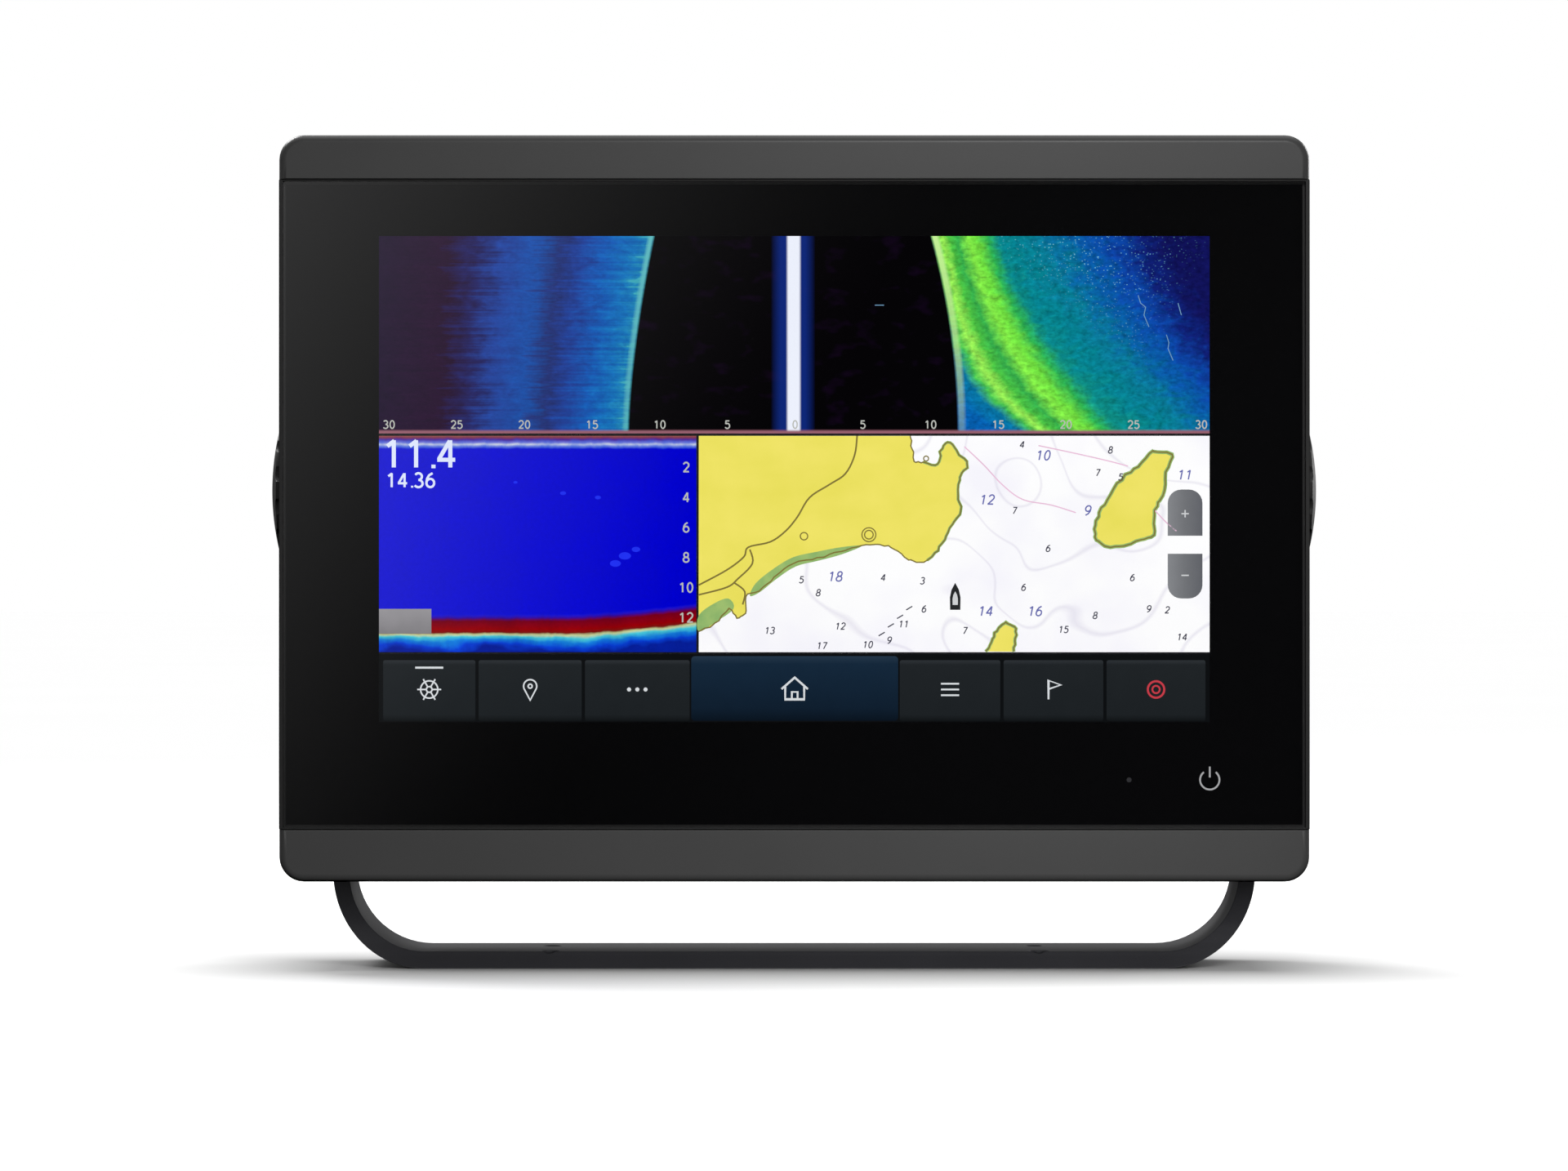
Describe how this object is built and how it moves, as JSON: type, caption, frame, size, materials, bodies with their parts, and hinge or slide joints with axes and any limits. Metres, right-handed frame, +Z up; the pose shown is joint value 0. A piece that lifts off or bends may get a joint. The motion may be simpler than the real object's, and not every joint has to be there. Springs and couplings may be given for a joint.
{
  "type": "chartplotter display",
  "caption": "Flat touch-screen chartplotter with a black glass front, finned rear housing, capped sockets and a card door, tilting in a U-shaped bail clamped by side knobs.",
  "frame": {"origin": "centre of the bail's four screw holes, on its underside", "axes": "+X to the right of a person facing the screen, +Y away from them, +Z up"},
  "size_m": [0.2576, 0.0566, 0.203],
  "materials": {
    "bail_coat": "fine textured dark powder coat",
    "cover_glass": "polished, hardened",
    "border_ink": "opaque black print",
    "adhesive": "matt",
    "touch_film": "clear",
    "lcd": "satin polariser",
    "diffuser": "milky",
    "led_board": "solder-masked white board with lamps",
    "tray_steel": "plated sheet",
    "bezel_plastic": "fine spark texture",
    "trim_satin": "satin dark grey",
    "circuit_board": "solder-masked board",
    "chip_black": "moulded epoxy",
    "housing_coat": "die casting, textured black coat",
    "rubber_black": "matt moulded rubber",
    "screw_steel": "stainless",
    "shield_tin": "tinned sheet",
    "thermal_gel": "soft silicone",
    "capacitor_can": "drawn can",
    "spacer_brass": "turned",
    "ferrite": "potted",
    "ceramic": "fired ceramic",
    "flex_film": "polyimide film",
    "socket_ivory": "moulded",
    "port_plastic": "glass-filled nylon",
    "contact_gold": "gold-plated",
    "seal_red": "silicone",
    "knob_plastic": "soft-touch moulded"
  },
  "bodies": {
    "bail": {"bail": "bail_coat"},
    "display": {"cover_glass": "cover_glass", "border_film": "border_ink", "glass_adhesive": "adhesive", "touch_sensor": "touch_film", "lcd_panel": "lcd", "light_guide": "diffuser", "led_strip": "led_board", "lcd_chassis": "tray_steel", "bezel": "bezel_plastic", "top_trim": "trim_satin", "bottom_trim": "trim_satin", "key_board": "circuit_board", "light_sensor": "chip_black", "rear_housing": "housing_coat", "housing_gasket": "rubber_black", "housing_screws": "screw_steel", "main_board": "circuit_board", "board_screws": "screw_steel", "processor": "chip_black", "memory_chips": "chip_black", "shield_can": "shield_tin", "thermal_pad": "thermal_gel", "power_parts": "capacitor_can", "sonar_board": "circuit_board", "board_spacers": "spacer_brass", "sonar_transformers": "ferrite", "gps_board": "circuit_board", "gps_patch": "ceramic", "beeper": "chip_black", "display_flex": "flex_film", "flex_socket": "socket_ivory", "vent_plug": "rubber_black", "power_port": "port_plastic", "sonar_port": "port_plastic", "network_port": "port_plastic", "backbone_port": "port_plastic", "port_contacts": "contact_gold", "port_nuts": "port_plastic", "port_seals": "seal_red", "card_board": "circuit_board", "card_sockets": "shield_tin", "door_pin": "screw_steel", "pivot_inserts": "spacer_brass", "friction_pads": "rubber_black"},
    "card_door": {"card_door": "port_plastic", "door_seal": "rubber_black"},
    "power_cap": {"power_cap": "rubber_black"},
    "sonar_cap": {"sonar_cap": "rubber_black"},
    "network_cap": {"network_cap": "rubber_black"},
    "backbone_cap": {"backbone_cap": "rubber_black"},
    "left_washer": {"left_washer": "screw_steel"},
    "right_washer": {"right_washer": "screw_steel"},
    "left_knob": {"left_knob": "knob_plastic", "left_stud": "screw_steel"},
    "right_knob": {"right_knob": "knob_plastic", "right_stud": "screw_steel"}
  },
  "joints": [
    {"name": "display_tilt", "type": "hinge", "parent": "bail", "child": "display", "pos_m": [0, 0, 0.117], "axis": [-1, 0, 0], "range_deg": [-5, 60]},
    {"name": "card_door_hinge", "type": "hinge", "parent": "display", "child": "card_door", "pos_m": [0.076, 0.0247, 0.0405], "axis": [-1, 0, 0], "range_deg": [0, 110]},
    {"name": "power_cap_pull", "type": "slide", "parent": "display", "child": "power_cap", "axis": [0, 1, 0], "range_m": [0, 0.012]},
    {"name": "sonar_cap_pull", "type": "slide", "parent": "display", "child": "sonar_cap", "axis": [0, 1, 0], "range_m": [0, 0.012]},
    {"name": "network_cap_pull", "type": "slide", "parent": "display", "child": "network_cap", "axis": [0, 1, 0], "range_m": [0, 0.012]},
    {"name": "backbone_cap_pull", "type": "slide", "parent": "display", "child": "backbone_cap", "axis": [0, 1, 0], "range_m": [0, 0.012]},
    {"name": "left_knob_slide", "type": "slide", "parent": "display", "child": "left_washer", "axis": [-1, 0, 0], "range_m": [0, 0.0081]},
    {"name": "left_knob_turn", "type": "hinge", "parent": "left_washer", "child": "left_knob", "pos_m": [-0.12, 0, 0.117], "axis": [-1, 0, 0], "range_deg": [0, 2880]},
    {"name": "right_knob_slide", "type": "slide", "parent": "display", "child": "right_washer", "axis": [1, 0, 0], "range_m": [0, 0.0081]},
    {"name": "right_knob_turn", "type": "hinge", "parent": "right_washer", "child": "right_knob", "pos_m": [0.12, 0, 0.117], "axis": [1, 0, 0], "range_deg": [0, 2880]}
  ],
  "couplings": [
    {"joint": "left_knob_slide", "follows": "left_knob_turn", "m_per_rad": 0.00015915},
    {"joint": "right_knob_slide", "follows": "right_knob_turn", "m_per_rad": 0.00015915}
  ]
}
